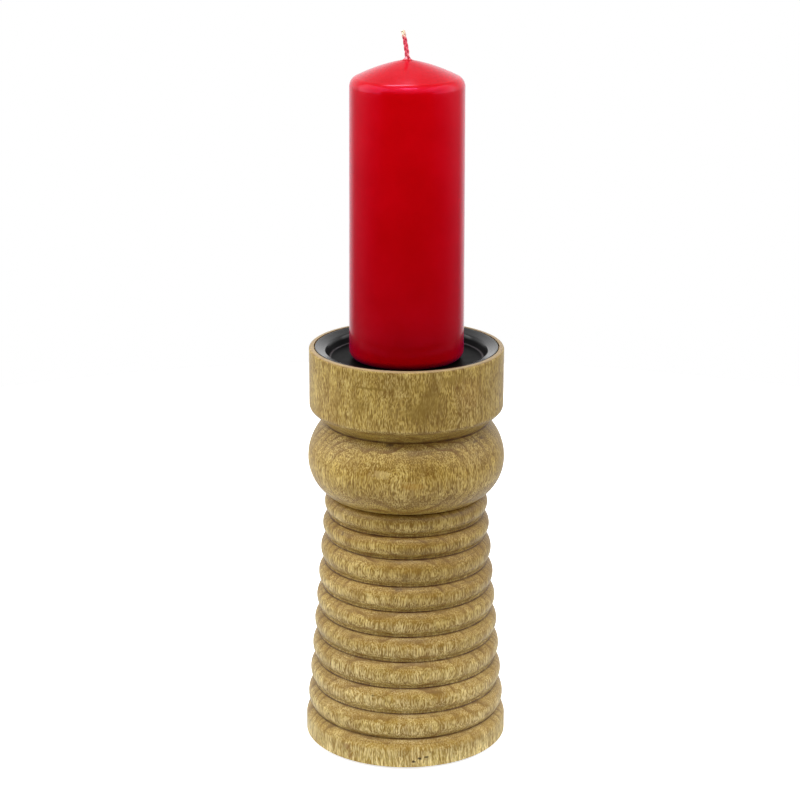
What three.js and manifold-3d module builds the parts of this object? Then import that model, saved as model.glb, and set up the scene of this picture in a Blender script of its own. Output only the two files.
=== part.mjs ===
// A turned wooden holder for one pillar candle, with a pressed metal dish let into its top.
// Millimetres, +Z up. The origin is on the table, under the middle of the four felt pads.

import * as THREE from 'three';
import { mergeVertices } from 'three/addons/utils/BufferGeometryUtils.js';
import Module from 'manifold-3d';

const wasm = await Module();
wasm.setup();

// Felt pads under the base
const PAD_COUNT = 4;
const PAD_RADIUS = 7;
const PAD_THICKNESS = 1.5;
const PAD_CIRCLE_RADIUS = 38;

// Base band of the turned body, from the flat underside up to the first groove
const BASE_RADIUS = 53.4;
const BASE_EDGE_BREAK = 0.4;
const BASE_STRAIGHT_HEIGHT = 9.0;
const BASE_SHOULDER_HEIGHT = 5.9;
const BASE_SHOULDER_BULGE = 0.7;

// Nine beads, cut by eye, so no two are quite the same height. Their crests lie on one taper.
const BEAD_HEIGHTS = [14.0, 13.8, 14.1, 13.5, 13.4, 13.4, 14.5, 11.8, 11.5];
const BEAD_RADIUS_LOWEST = 52.1;
const BEAD_RADIUS_HIGHEST = 42.85;
const GROOVE_DEPTH = 3.0;

// Round band over the beads, drawn by one arc below its widest line and one above
const BAND_RADIUS = 51.3;
const BAND_LOWER_HEIGHT = 19.1;
const BAND_LOWER_RADIUS = 40.8;
const BAND_UPPER_HEIGHT = 20.0;

// Drum over the band, with a sloping underside that meets the band in the neck groove
const NECK_RADIUS = 42.4;
const DRUM_RADIUS = 50.4;
const DRUM_UNDERSIDE_HEIGHT = 7.35;
const DRUM_LOWER_ROUNDING = 3.2;
const DRUM_STRAIGHT_HEIGHT = 31.95;
const DRUM_RIM_ROUNDING = 1.3;

// Pressed dish. Its rim lies level with the wood and slopes in to a lip over the deeper well.
const DISH_SHEET = 1.0;
const DISH_RIM_RADIUS = 47.3;
const DISH_LIP_RADIUS = 42.0;
const DISH_LIP_DROP = 1.7;
const DISH_LIP_ROUNDING = 0.5;
const DISH_FLOOR_RADIUS = 39.8;
const DISH_DEPTH = 6.0;
const DISH_CLEARANCE = 0.45;

// Countersunk wood screw through the middle of the dish, in a dimple pressed into its floor
const SCREW_HEAD_RADIUS = 4.0;
const SCREW_HEAD_HEIGHT = 2.3;
const SCREW_SHANK_RADIUS = 1.9;
const SCREW_LENGTH = 22;
const SCREW_POINT_LENGTH = 4;
const SCREW_SETBACK = 0.3;
const SCREW_CLEARANCE = 0.3;
const DRIVE_SLOT_WIDTH = 0.9;
const DRIVE_SLOT_LENGTH = 4.2;
const DRIVE_SLOT_DEPTH = 1.3;

// Pillar candle, cast with a slight draft, a rounded shoulder and a shallow domed top
const CANDLE_BOTTOM_RADIUS = 29.6;
const CANDLE_TOP_RADIUS = 29.0;
const CANDLE_SIDE_HEIGHT = 143.7;
const CANDLE_BOTTOM_ROUNDING = 4.5;
const CANDLE_SHOULDER_ROUNDING = 5.4;
const CANDLE_DOME_RISE = 9.8;
const CANDLE_DOME_BULGE = 0.7;

// Wick, held in a tin tab that is pressed into the bottom of the candle
const WICK_RADIUS = 1.3;
const WICK_TIP_RADIUS = 0.8;
const WICK_EXPOSED_HEIGHT = 14.8;
const WICK_LEAN = 2.2;
const WICK_LEAN_POWER = 1.4;
const WICK_CLEARANCE = 0.3;
const TAB_RADIUS = 10;
const TAB_SHEET = 0.4;
const TAB_SETBACK = 0.2;
const TAB_NECK_WALL = 0.4;
const TAB_NECK_HEIGHT = 5;
const TAB_CLEARANCE = 0.3;

// Facets round each turned piece, and round the small ones
const TURNED_FACETS = 48;
const SMALL_FACETS = 24;
const WICK_FACETS = 12;

// Straight steps along a long arc of an outline, round a corner, and up the bent wick
const ARC_STEPS = 6;
const CORNER_STEPS = 4;
const BEND_STEPS = 7;

// Points closer than this are one point when a shape is made solid
const MERGE_DISTANCE = 1e-5;

// Heights worked out from the table up
const woodBottomZ = PAD_THICKNESS;
const firstGrooveZ = woodBottomZ + BASE_STRAIGHT_HEIGHT + BASE_SHOULDER_HEIGHT;
const lastGrooveZ = firstGrooveZ + BEAD_HEIGHTS.reduce((sum, height) => sum + height, 0);
const bandWidestZ = lastGrooveZ + BAND_LOWER_HEIGHT;
const neckZ = bandWidestZ + BAND_UPPER_HEIGHT;
const drumCornerZ = neckZ + DRUM_UNDERSIDE_HEIGHT;
const woodTopZ = drumCornerZ + DRUM_STRAIGHT_HEIGHT;
const dishFloorZ = woodTopZ - DISH_DEPTH;
const screwTopZ = dishFloorZ - SCREW_SETBACK;
const tabBottomZ = dishFloorZ + TAB_SETBACK;
const shoulderZ = dishFloorZ + CANDLE_SIDE_HEIGHT;
const domeTopZ = shoulderZ + CANDLE_DOME_RISE;

// Radii of the holes that the small pieces go through
const screwHoleRadius = SCREW_SHANK_RADIUS + SCREW_CLEARANCE;
const wickChannelRadius = WICK_RADIUS + WICK_CLEARANCE;
const tabNeckRadius = wickChannelRadius + TAB_NECK_WALL;

// Fall of the dish's rim towards its lip, which the wood's seat under it shares
const dishRimSlope = DISH_LIP_DROP / (DISH_RIM_RADIUS - DISH_LIP_RADIUS);

// A profile point: distance from the axis, and height
const at = (radius, height) => new THREE.Vector2(radius, height);

// Points of an arc from one point to the next that swells by `bulge` to the right of the chord
function bulgedArc(from, to, bulge, steps) {
  const chord = to.clone().sub(from);
  const half = chord.length() / 2;
  const radius = (half * half + bulge * bulge) / (2 * bulge);
  const right = at(chord.y, -chord.x).normalize();
  const centre = from.clone().add(to).multiplyScalar(0.5).addScaledVector(right, bulge - radius);
  const start = from.clone().sub(centre).angle();
  const turn = 4 * Math.atan2(bulge, half);
  const points = [];
  for (let step = 0; step <= steps; step += 1) {
    const angle = start + (turn * step) / steps;
    points.push(at(centre.x + radius * Math.cos(angle), centre.y + radius * Math.sin(angle)));
  }
  points[0] = from.clone();
  points[steps] = to.clone();
  return points;
}

// Points of an arc that leaves `widest` upright and passes through `end`
function uprightArc(widest, end, steps) {
  const inward = widest.x - end.x;
  const along = end.y - widest.y;
  const radius = (inward * inward + along * along) / (2 * inward);
  const turn = Math.atan2(along, radius - inward);
  const points = [];
  for (let step = 0; step <= steps; step += 1) {
    const angle = (turn * step) / steps;
    points.push(at(widest.x - radius + radius * Math.cos(angle), widest.y + radius * Math.sin(angle)));
  }
  return points;
}

// Points that round off the corner between two straight runs
function roundedCorner(before, corner, after, radius, steps) {
  const back = before.clone().sub(corner).normalize();
  const ahead = after.clone().sub(corner).normalize();
  const halfAngle = Math.acos(THREE.MathUtils.clamp(back.dot(ahead), -1, 1)) / 2;
  const reach = radius / Math.tan(halfAngle);
  const start = corner.clone().addScaledVector(back, reach);
  const end = corner.clone().addScaledVector(ahead, reach);
  const turnsLeft = back.x * ahead.y - back.y * ahead.x < 0;
  const sagitta = radius * (1 - Math.sin(halfAngle));
  const points = turnsLeft
    ? bulgedArc(start, end, sagitta, steps)
    : bulgedArc(end, start, sagitta, steps).reverse();
  return points;
}

// Turns a profile about the Z axis. A closed profile runs up the outside and in over the top.
function turned(profile, facets) {
  const geometry = new THREE.LatheGeometry(profile, facets);
  geometry.rotateX(Math.PI / 2);
  return geometry;
}

// The crest radius of a bead whose middle is at a height: a straight taper up the column
function beadRadiusAt(height) {
  const lowestMiddle = firstGrooveZ + BEAD_HEIGHTS[0] / 2;
  const highestMiddle = lastGrooveZ - BEAD_HEIGHTS[BEAD_HEIGHTS.length - 1] / 2;
  const share = (height - lowestMiddle) / (highestMiddle - lowestMiddle);
  return THREE.MathUtils.lerp(BEAD_RADIUS_LOWEST, BEAD_RADIUS_HIGHEST, share);
}

// Base band: a broken lower edge, a straight side and a shoulder that rolls into the first groove
function baseProfile() {
  const straightTop = at(BASE_RADIUS, woodBottomZ + BASE_STRAIGHT_HEIGHT);
  const groove = at(beadRadiusAt(firstGrooveZ) - GROOVE_DEPTH, firstGrooveZ);
  return [
    at(BASE_RADIUS - BASE_EDGE_BREAK, woodBottomZ),
    at(BASE_RADIUS, woodBottomZ + BASE_EDGE_BREAK),
    ...bulgedArc(straightTop, groove, BASE_SHOULDER_BULGE, CORNER_STEPS),
  ];
}

// Beads: one arc from groove to groove for each, so that neighbours meet in a sharp groove
function beadProfile() {
  const points = [];
  let bottomZ = firstGrooveZ;
  for (const height of BEAD_HEIGHTS) {
    const lower = at(beadRadiusAt(bottomZ) - GROOVE_DEPTH, bottomZ);
    const upper = at(beadRadiusAt(bottomZ + height) - GROOVE_DEPTH, bottomZ + height);
    points.push(...bulgedArc(lower, upper, GROOVE_DEPTH, ARC_STEPS).slice(1));
    bottomZ += height;
  }
  return points;
}

// Round band, from the last groove over its widest line to the neck groove
function bandProfile() {
  const widest = at(BAND_RADIUS, bandWidestZ);
  const lower = uprightArc(widest, at(BAND_LOWER_RADIUS, lastGrooveZ), ARC_STEPS).reverse();
  const upper = uprightArc(widest, at(NECK_RADIUS, neckZ), ARC_STEPS);
  return [...lower, ...upper.slice(1)];
}

// Drum: sloping underside, straight side and a softened rim
function drumProfile() {
  const neck = at(NECK_RADIUS, neckZ);
  const lowerCorner = at(DRUM_RADIUS, drumCornerZ);
  const rimCorner = at(DRUM_RADIUS, woodTopZ);
  const rimInside = at(DISH_RIM_RADIUS + DISH_CLEARANCE, woodTopZ);
  return [
    ...roundedCorner(neck, lowerCorner, rimCorner, DRUM_LOWER_ROUNDING, CORNER_STEPS),
    ...roundedCorner(lowerCorner, rimCorner, rimInside, DRUM_RIM_ROUNDING, CORNER_STEPS),
    rimInside,
  ];
}

// Seat for the dish, cut parallel to its underside, with a clearance at the sides and under the rim
function dishSeatProfile() {
  const rimSeatZ = woodTopZ - DISH_SHEET - DISH_CLEARANCE;
  const wellRadius = DISH_LIP_RADIUS + DISH_SHEET + DISH_CLEARANCE;
  const rebateRadius = DISH_RIM_RADIUS + DISH_CLEARANCE;
  return [
    at(rebateRadius, rimSeatZ),
    at(wellRadius, rimSeatZ - dishRimSlope * (rebateRadius - wellRadius)),
    at(wellRadius, dishFloorZ - DISH_SHEET),
  ];
}

// Dimple in the dish floor: the radii of its mouth and hole, and its depth, for one side of the sheet
function dimple() {
  const depth = SCREW_SETBACK + SCREW_HEAD_HEIGHT;
  const mouthRadius = SCREW_HEAD_RADIUS + SCREW_SETBACK + SCREW_CLEARANCE;
  return { depth, mouthRadius, holeRadius: screwHoleRadius };
}

// Hole down the middle of the wood: room for the dimple, then the screw's hole with a blind end
function screwHoleProfile() {
  const { depth, mouthRadius } = dimple();
  const seatZ = dishFloorZ - DISH_SHEET;
  const pocketRadius = mouthRadius + DISH_SHEET + SCREW_CLEARANCE;
  const shankTopRadius = screwHoleRadius + DISH_SHEET + SCREW_CLEARANCE;
  const blindZ = screwTopZ - SCREW_LENGTH - SCREW_CLEARANCE;
  return [
    at(pocketRadius, seatZ),
    at(shankTopRadius, seatZ - depth - SCREW_CLEARANCE),
    at(screwHoleRadius, seatZ - depth - SCREW_CLEARANCE),
    at(screwHoleRadius, blindZ),
    at(0, blindZ),
  ];
}

function turnedBody() {
  return turned([
    at(0, woodBottomZ),
    ...baseProfile(),
    ...beadProfile(),
    ...bandProfile().slice(1),
    ...drumProfile(),
    ...dishSeatProfile(),
    ...screwHoleProfile(),
  ], TURNED_FACETS);
}

// Dish: the underside runs out from the screw hole to the rim, and the top side runs back in
function candleDish() {
  const { depth, mouthRadius, holeRadius } = dimple();
  const underZ = dishFloorZ - DISH_SHEET;
  const floorEdge = at(DISH_FLOOR_RADIUS, dishFloorZ);
  const lip = at(DISH_LIP_RADIUS, woodTopZ - DISH_LIP_DROP);
  const rim = at(DISH_RIM_RADIUS, woodTopZ);
  const lipTop = roundedCorner(floorEdge, lip, rim, DISH_LIP_ROUNDING, CORNER_STEPS);
  const lipUnderRadius = DISH_LIP_RADIUS + DISH_SHEET;
  const rimUnderZ = woodTopZ - DISH_SHEET;
  return turned([
    at(holeRadius, dishFloorZ - depth - DISH_SHEET),
    at(holeRadius + DISH_SHEET, dishFloorZ - depth - DISH_SHEET),
    at(mouthRadius + DISH_SHEET, underZ),
    at(DISH_FLOOR_RADIUS + DISH_SHEET, underZ),
    at(lipUnderRadius, rimUnderZ - dishRimSlope * (DISH_RIM_RADIUS - lipUnderRadius)),
    at(DISH_RIM_RADIUS, rimUnderZ),
    rim,
    ...lipTop.reverse(),
    floorEdge,
    at(mouthRadius, dishFloorZ),
    at(holeRadius, dishFloorZ - depth),
    at(holeRadius, dishFloorZ - depth - DISH_SHEET),
  ], TURNED_FACETS);
}

// A closed three.js shape as a solid that can be cut
function solidOf(geometry) {
  const bare = geometry.clone();
  bare.deleteAttribute('normal');
  bare.deleteAttribute('uv');
  const merged = mergeVertices(bare, MERGE_DISTANCE);
  const triangles = [];
  for (let first = 0; first < merged.index.count; first += 3) {
    const corners = [0, 1, 2].map((offset) => merged.index.getX(first + offset));
    if (new Set(corners).size === 3) triangles.push(...corners);
  }
  return new wasm.Manifold(new wasm.Mesh({
    numProp: 3,
    vertProperties: new Float32Array(merged.attributes.position.array),
    triVerts: new Uint32Array(triangles),
  }));
}

// A cut solid as a three.js shape again
function shapeOf(solid) {
  const mesh = solid.getMesh();
  const geometry = new THREE.BufferGeometry();
  geometry.setAttribute('position', new THREE.BufferAttribute(mesh.vertProperties, 3));
  geometry.setIndex(new THREE.BufferAttribute(mesh.triVerts, 1));
  geometry.computeVertexNormals();
  return geometry;
}

// Screw: flat countersunk head, plain shank and a point, with two crossed slots for the driver
function dishScrew() {
  const blank = turned([
    at(0, screwTopZ - SCREW_LENGTH),
    at(SCREW_SHANK_RADIUS, screwTopZ - SCREW_LENGTH + SCREW_POINT_LENGTH),
    at(SCREW_SHANK_RADIUS, screwTopZ - SCREW_HEAD_HEIGHT),
    at(SCREW_HEAD_RADIUS, screwTopZ),
    at(0, screwTopZ),
  ], SMALL_FACETS);
  const slotDepth = 2 * DRIVE_SLOT_DEPTH;
  const slot = new THREE.BoxGeometry(DRIVE_SLOT_LENGTH, DRIVE_SLOT_WIDTH, slotDepth);
  slot.translate(0, 0, screwTopZ);
  const crossSlot = slot.clone().rotateZ(Math.PI / 2);
  const drive = solidOf(slot).add(solidOf(crossSlot));
  return shapeOf(solidOf(blank).subtract(drive));
}

function feltPad(index) {
  const angle = ((index + 0.5) * 2 * Math.PI) / PAD_COUNT;
  const pad = new THREE.CylinderGeometry(PAD_RADIUS, PAD_RADIUS, PAD_THICKNESS, SMALL_FACETS);
  pad.rotateX(Math.PI / 2);
  pad.translate(
    PAD_CIRCLE_RADIUS * Math.cos(angle),
    PAD_CIRCLE_RADIUS * Math.sin(angle),
    PAD_THICKNESS / 2,
  );
  return pad;
}

// Wax: a recess for the tab and a channel for the wick, then the outside up to the domed top
function candleWax() {
  const tabRoofZ = tabBottomZ + TAB_SHEET + TAB_CLEARANCE;
  const neckRoofZ = tabBottomZ + TAB_NECK_HEIGHT + TAB_CLEARANCE;
  const neckPocketRadius = tabNeckRadius + TAB_CLEARANCE;
  const tabPocketRadius = TAB_RADIUS + TAB_CLEARANCE;
  const bottomInside = at(tabPocketRadius, dishFloorZ);
  const bottomCorner = at(CANDLE_BOTTOM_RADIUS, dishFloorZ);
  const shoulder = at(CANDLE_TOP_RADIUS, shoulderZ);
  const wickMouth = at(wickChannelRadius, domeTopZ);
  const shoulderRound = roundedCorner(
    bottomCorner, shoulder, wickMouth, CANDLE_SHOULDER_ROUNDING, CORNER_STEPS,
  );
  const domeStart = shoulderRound[shoulderRound.length - 1];
  return turned([
    at(tabPocketRadius, tabRoofZ),
    bottomInside,
    ...roundedCorner(bottomInside, bottomCorner, shoulder, CANDLE_BOTTOM_ROUNDING, CORNER_STEPS),
    ...shoulderRound,
    ...bulgedArc(domeStart, wickMouth, CANDLE_DOME_BULGE, ARC_STEPS).slice(1),
    at(wickChannelRadius, neckRoofZ),
    at(neckPocketRadius, neckRoofZ),
    at(neckPocketRadius, tabRoofZ),
    at(tabPocketRadius, tabRoofZ),
  ], TURNED_FACETS);
}

// Wick: upright inside the wax, then thinning and bending to one side above it
function candleWick() {
  const bottomZ = tabBottomZ + TAB_SHEET;
  const profile = [at(0, bottomZ), at(WICK_RADIUS, bottomZ)];
  for (let step = 0; step <= BEND_STEPS; step += 1) {
    const share = step / BEND_STEPS;
    const radius = THREE.MathUtils.lerp(WICK_RADIUS, WICK_TIP_RADIUS, share);
    profile.push(at(radius, domeTopZ + WICK_EXPOSED_HEIGHT * share));
  }
  profile.push(at(0, domeTopZ + WICK_EXPOSED_HEIGHT));
  const wick = turned(profile, WICK_FACETS);
  const position = wick.attributes.position;
  for (let vertex = 0; vertex < position.count; vertex += 1) {
    const share = Math.max(0, (position.getZ(vertex) - domeTopZ) / WICK_EXPOSED_HEIGHT);
    position.setX(vertex, position.getX(vertex) - WICK_LEAN * share ** WICK_LEAN_POWER);
  }
  wick.computeVertexNormals();
  return wick;
}

// Wick tab: a thin disc with a short neck that grips the wick
function wickTab() {
  return turned([
    at(wickChannelRadius, tabBottomZ),
    at(TAB_RADIUS, tabBottomZ),
    at(TAB_RADIUS, tabBottomZ + TAB_SHEET),
    at(tabNeckRadius, tabBottomZ + TAB_SHEET),
    at(tabNeckRadius, tabBottomZ + TAB_NECK_HEIGHT),
    at(wickChannelRadius, tabBottomZ + TAB_NECK_HEIGHT),
    at(wickChannelRadius, tabBottomZ),
  ], SMALL_FACETS);
}

// Materials
const wood = { color: 0xb0925c, roughness: 0.5, metalness: 0 };
const blackMetal = { color: 0x1c1c1e, roughness: 0.42, metalness: 0.6 };
const zincSteel = { color: 0x9a9a98, roughness: 0.35, metalness: 1 };
const felt = { color: 0x4a3b2c, roughness: 1, metalness: 0 };
const redWax = { color: 0xa80410, roughness: 0.45, metalness: 0 };
const wickCotton = { color: 0xb06068, roughness: 0.9, metalness: 0 };
const tin = { color: 0xb8b8b4, roughness: 0.3, metalness: 1 };

const holder = new THREE.Group();

function addPiece(name, geometry, finish) {
  const mesh = new THREE.Mesh(geometry, new THREE.MeshStandardMaterial(finish));
  mesh.name = name;
  holder.add(mesh);
}

addPiece('turned_body', turnedBody(), wood);
addPiece('candle_dish', candleDish(), blackMetal);
addPiece('dish_screw', dishScrew(), zincSteel);
for (let index = 0; index < PAD_COUNT; index += 1) {
  addPiece(`felt_pad_${index + 1}`, feltPad(index), felt);
}
addPiece('candle_wax', candleWax(), redWax);
addPiece('candle_wick', candleWick(), wickCotton);
addPiece('wick_tab', wickTab(), tin);

export default holder;
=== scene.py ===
import math

import bpy
from mathutils import Matrix, Vector


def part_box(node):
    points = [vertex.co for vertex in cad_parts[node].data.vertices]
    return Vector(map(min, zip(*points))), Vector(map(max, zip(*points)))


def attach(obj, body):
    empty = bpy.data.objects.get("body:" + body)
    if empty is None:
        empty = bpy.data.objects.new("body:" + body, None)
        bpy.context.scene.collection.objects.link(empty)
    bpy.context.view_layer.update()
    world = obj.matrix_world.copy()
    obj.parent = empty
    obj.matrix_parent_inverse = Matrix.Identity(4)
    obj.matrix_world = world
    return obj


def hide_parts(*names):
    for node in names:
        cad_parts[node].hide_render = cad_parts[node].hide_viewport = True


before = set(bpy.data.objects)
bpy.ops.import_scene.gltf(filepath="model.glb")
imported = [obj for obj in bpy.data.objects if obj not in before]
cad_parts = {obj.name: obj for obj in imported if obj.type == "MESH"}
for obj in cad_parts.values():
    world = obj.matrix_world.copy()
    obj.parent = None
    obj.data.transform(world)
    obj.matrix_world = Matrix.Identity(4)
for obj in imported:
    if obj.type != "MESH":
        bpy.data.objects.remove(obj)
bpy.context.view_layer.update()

# The place and the light
# The holder stands on a white studio table that runs on as the background. The camera is where the
# photograph's was: a little over a metre away, above the candle's top and looking down.

camera_aside = -0.0033
camera_distance = 1.1191
camera_height = 0.5262
camera_pitch = math.radians(16.94)
camera_roll = math.radians(0.12)
lens_length = 101.4
sensor_side = 36.0


def placed(name, data):
    """A new object in the scene that holds a camera, a lamp or a mesh."""
    made = bpy.data.objects.new(name, data)
    bpy.context.scene.collection.objects.link(made)
    return made


camera_data = bpy.data.cameras.new("photograph_camera")
camera_data.lens = lens_length
camera_data.sensor_width = sensor_side
camera = placed("photograph_camera", camera_data)
camera.matrix_world = (
    Matrix.Translation((camera_aside, -camera_distance, camera_height))
    @ Matrix.Rotation(math.pi / 2 - camera_pitch, 4, "X")
    @ Matrix.Rotation(camera_roll, 4, "Z")
)
bpy.context.scene.camera = camera
bpy.context.scene.view_settings.view_transform = "Standard"


class Nodes:
    """Fills a node tree. An input is a plain value, or another node's output to link."""

    def __init__(self, tree):
        self.tree = tree
        tree.nodes.clear()

    def add(self, kind, inputs=None, **settings):
        made = self.tree.nodes.new(kind)
        for key, value in settings.items():
            setattr(made, key, value)
        for name, value in (inputs or {}).items():
            if isinstance(value, bpy.types.NodeSocket):
                self.tree.links.new(value, made.inputs[name])
            else:
                made.inputs[name].default_value = value
        return made

    def maths(self, operation, first, second=0.0):
        return self.add("ShaderNodeMath", {0: first, 1: second}, operation=operation).outputs[0]

    def plus(self, first, second):
        return self.maths("ADD", first, second)

    def minus(self, first, second):
        return self.maths("SUBTRACT", first, second)

    def times(self, first, *others):
        for other in others:
            first = self.maths("MULTIPLY", first, other)
        return first

    def larger(self, first, second):
        return self.maths("MAXIMUM", first, second)

    def ranged(self, value, over, to=(0.0, 1.0), smooth=False):
        """A value mapped from one range to another and held at its ends."""
        return self.add("ShaderNodeMapRange", {
            "Value": value, "From Min": over[0], "From Max": over[1], "To Min": to[0], "To Max": to[1],
        }, interpolation_type="SMOOTHSTEP" if smooth else "LINEAR").outputs[0]


# The room is palest at the level of the table behind the holder, and darker above, below and on the
# camera's side. To the camera it is white all round.
ambient_share = 0.55
room_below = 0.15
room_low_behind = 0.95
room_above = 0.45
room_behind = 1.0
room_in_front = 0.18
world = bpy.data.worlds.new("white_studio")
world.use_nodes = True
room = Nodes(world.node_tree)
outwards = room.add("ShaderNodeTexCoord").outputs["Generated"]
direction = room.add("ShaderNodeSeparateXYZ", {0: outwards}).outputs
depth_light = room.ranged(
    direction["Y"], over=(-0.5, 0.35), to=(room_in_front, room_behind), smooth=True)
floor_light = room.ranged(direction["Y"], over=(0.6, 0.9), to=(room_below, room_low_behind))
down_light = room.ranged(direction["Z"], over=(-0.36, -0.28), to=(room_below, floor_light))
lower_light = room.ranged(direction["Z"], over=(-0.2, 0.0), to=(down_light, 1.0))
upper_light = room.ranged(direction["Z"], over=(0.25, 0.6), to=(1.0, room_above))
room_light = room.times(lower_light, upper_light, depth_light)

# Rays from the camera, and those that metal or gloss sends on, see the room. Others get its glow.
ray = room.add("ShaderNodeLightPath").outputs
seen = room.larger(ray["Is Camera Ray"], ray["Is Glossy Ray"])
room_strength = room.add("ShaderNodeMix", {
    "Factor": room.larger(seen, ray["Is Transmission Ray"]),
    "A": room.times(room_light, ambient_share),
    "B": room.larger(room_light, ray["Is Camera Ray"]),
})
room_glow = room.add("ShaderNodeBackground", {
    "Color": (1, 1, 1, 1), "Strength": room_strength.outputs[0]})
room.add("ShaderNodeOutputWorld", {"Surface": room_glow.outputs[0]})
bpy.context.scene.world = world

# The table is a round white top, which glows a little where it is seen directly, so that it runs
# into the white background
table_radius = 0.72
table_corners = 96
table_white = 0.8
table_glow = 0.8
table_mesh = bpy.data.meshes.new("table")
table_mesh.from_pydata([
    (table_radius * math.cos(2 * math.pi * corner / table_corners),
     table_radius * math.sin(2 * math.pi * corner / table_corners), 0)
    for corner in range(table_corners)
], [], [list(range(table_corners))])
table = placed("table", table_mesh)
table_material = bpy.data.materials.new("white_table")
table_material.use_nodes = True
top = Nodes(table_material.node_tree)
seen = top.add("ShaderNodeLightPath").outputs["Is Camera Ray"]
top_paint = top.add("ShaderNodeBsdfDiffuse", {"Color": (table_white,) * 3 + (1,)})
top_glow = top.add("ShaderNodeEmission", {
    "Color": (1, 1, 1, 1), "Strength": top.times(seen, table_glow)})
top_sum = top.add("ShaderNodeAddShader", {0: top_paint.outputs[0], 1: top_glow.outputs[0]})
top.add("ShaderNodeOutputMaterial", {"Surface": top_sum.outputs[0]})
table.data.materials.append(table_material)

# Softboxes: name, place, width, height and power in watts
softboxes = (
    ("softbox_left", (-0.95, -0.15, 0.75), 1.2, 1.2, 9.0),
    ("softbox_right", (0.95, -0.15, 0.75), 1.2, 1.2, 7.4),
    ("softbox_front", (0.0, -0.95, 0.90), 1.3, 0.8, 1.6),
    ("softbox_top", (0.0, -0.50, 1.15), 2.2, 1.2, 9.2),
    ("strip_behind", (-0.10, 0.22, 1.10), 0.36, 0.06, 2.1),
    ("strip_in_front", (0.02, -0.44, 1.10), 0.40, 0.04, 3.5),
)
softbox_aim = Vector((0, 0, 0.2))
for name, place, width, height, power in softboxes:
    lamp = bpy.data.lights.new(name, "AREA")
    lamp.shape = "RECTANGLE"
    lamp.size = width
    lamp.size_y = height
    lamp.energy = power
    softbox = placed(name, lamp)
    softbox.location = place
    softbox.rotation_euler = (softbox_aim - Vector(place)).to_track_quat("-Z", "Y").to_euler()


# The turned body
# One block of pale yellowish brown hardwood, turned between centres with its grain upright, sanded
# and given a thin oil that darkens the end grain. The dish's seat is cut into its top.

wood_low, wood_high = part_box("turned_body")
wood_bottom = wood_low.z
wood_top = wood_high.z
base_radius = wood_high.x
base_edge_break = 0.0004
base_straight_height = 0.0090
base_shoulder_height = 0.0059
base_shoulder_bulge = 0.0007
bead_heights = (0.0140, 0.0138, 0.0141, 0.0135, 0.0134, 0.0134, 0.0145, 0.0118, 0.0115)
bead_radius_lowest = 0.0521
bead_radius_highest = 0.04285
groove_depth = 0.0030
groove_ridge_half = 0.00055
groove_ridge_height = 0.00040
band_radius = 0.0513
band_lower_height = 0.0191
band_lower_radius = 0.0408
band_upper_height = 0.0200
neck_radius = 0.0424
drum_radius = 0.0504
drum_underside_height = 0.00735
drum_lower_rounding = 0.0032
drum_rim_rounding = 0.0013
seat_clearance = 0.00045

dish_low, dish_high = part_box("candle_dish")
dish_rim_radius = dish_high.x
dish_lip_radius = 0.0420
dish_lip_drop = 0.0017
dish_floor_radius = 0.0398
dish_depth = 0.0060
dish_sheet = 0.0010
dish_floor_z = wood_top - dish_depth

first_groove_z = wood_bottom + base_straight_height + base_shoulder_height
last_groove_z = first_groove_z + sum(bead_heights)
band_widest_z = last_groove_z + band_lower_height
neck_z = band_widest_z + band_upper_height
drum_corner_z = neck_z + drum_underside_height


def bulged_arc(start, end, bulge, steps):
    """Points of an arc from start to end, as (radius, height), that swells to the right."""
    start, end = Vector(start), Vector(end)
    chord = end - start
    half = chord.length / 2
    radius = (half * half + bulge * bulge) / (2 * bulge)
    right = Vector((chord.y, -chord.x)).normalized()
    centre = (start + end) / 2 + right * (bulge - radius)
    first = math.atan2(start.y - centre.y, start.x - centre.x)
    turn = 4 * math.atan2(bulge, half)
    angles = [first + turn * step / steps for step in range(steps + 1)]
    return [(centre.x + radius * math.cos(a), centre.y + radius * math.sin(a)) for a in angles]


def upright_arc(widest, end, steps):
    """Points of an arc that leaves its widest point upright and passes through end."""
    inward, along = widest[0] - end[0], end[1] - widest[1]
    radius = (inward * inward + along * along) / (2 * inward)
    turn = math.atan2(along, radius - inward)
    angles = [turn * step / steps for step in range(steps + 1)]
    centre = widest[0] - radius
    return [(centre + radius * math.cos(a), widest[1] + radius * math.sin(a)) for a in angles]


def rounded_corner(before, corner, after, radius, steps):
    """Points that round off the corner between two straight runs."""
    before, corner, after = Vector(before), Vector(corner), Vector(after)
    back, ahead = (before - corner).normalized(), (after - corner).normalized()
    half_angle = back.angle(ahead) / 2
    reach = radius / math.tan(half_angle)
    start, end = corner + back * reach, corner + ahead * reach
    sagitta = radius * (1 - math.sin(half_angle))
    if back.x * ahead.y - back.y * ahead.x < 0:
        return bulged_arc(start, end, sagitta, steps)
    return bulged_arc(end, start, sagitta, steps)[::-1]


def divided(outline, longest):
    """The same outline with every run longer than `longest` cut into equal lengths."""
    points = [outline[0]]
    for here, there in zip(outline, outline[1:]):
        count = max(1, math.ceil(math.dist(here, there) / longest))
        for step in range(1, count + 1):
            share = step / count
            points.append(tuple(a + (b - a) * share for a, b in zip(here, there)))
    return points


def bead_radius_at(height):
    """The crest line of the beads: a straight taper up the column."""
    lowest = first_groove_z + bead_heights[0] / 2
    highest = last_groove_z - bead_heights[-1] / 2
    share = (height - lowest) / (highest - lowest)
    return bead_radius_lowest + (bead_radius_highest - bead_radius_lowest) * share


def groove_point(height):
    return bead_radius_at(height) - groove_depth, height


groove_heights = [first_groove_z]
for bead_height in bead_heights:
    groove_heights.append(groove_heights[-1] + bead_height)

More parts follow.
